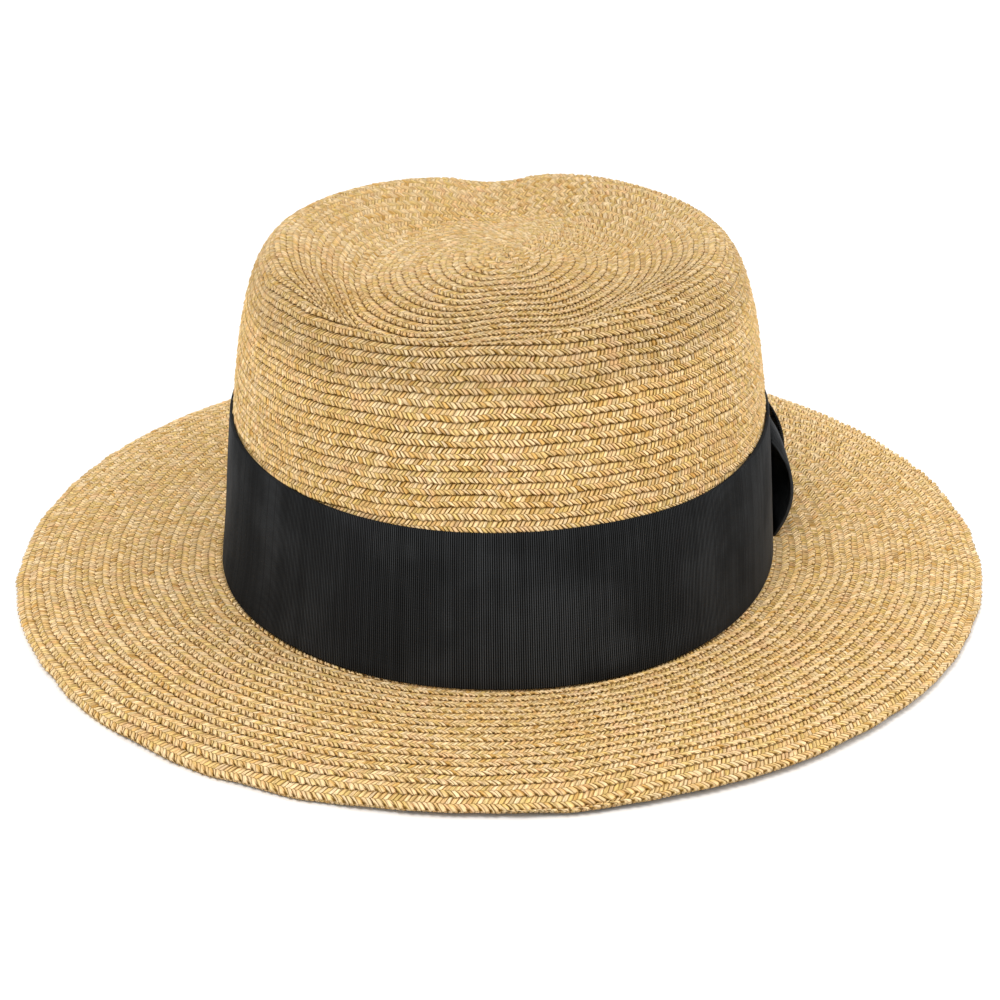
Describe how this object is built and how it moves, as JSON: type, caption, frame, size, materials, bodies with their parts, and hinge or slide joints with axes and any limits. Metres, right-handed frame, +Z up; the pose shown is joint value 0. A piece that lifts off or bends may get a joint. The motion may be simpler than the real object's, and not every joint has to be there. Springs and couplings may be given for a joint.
{
  "type": "fedora hat",
  "caption": "Sewn straw braid fedora with an oval dented crown, a gently rolled brim, a wide dark ribbon band and a flat pinched ribbon bow on the wearer's left.",
  "frame": {"origin": "on the surface that the brim rests on, below the middle of the brim", "axes": "+X to the wearer's left, -Y to the wearer's front, +Z up out of the crown's top"},
  "size_m": [0.302, 0.337, 0.108],
  "materials": {
    "straw": "satin natural straw braid",
    "ribbon": "matte ribbed black ribbon"
  },
  "bodies": {
    "root": {"straw_body": "straw", "ribbon_band": "ribbon", "bow_ribbon": "ribbon", "bow_wrap": "ribbon"}
  },
  "joints": []
}
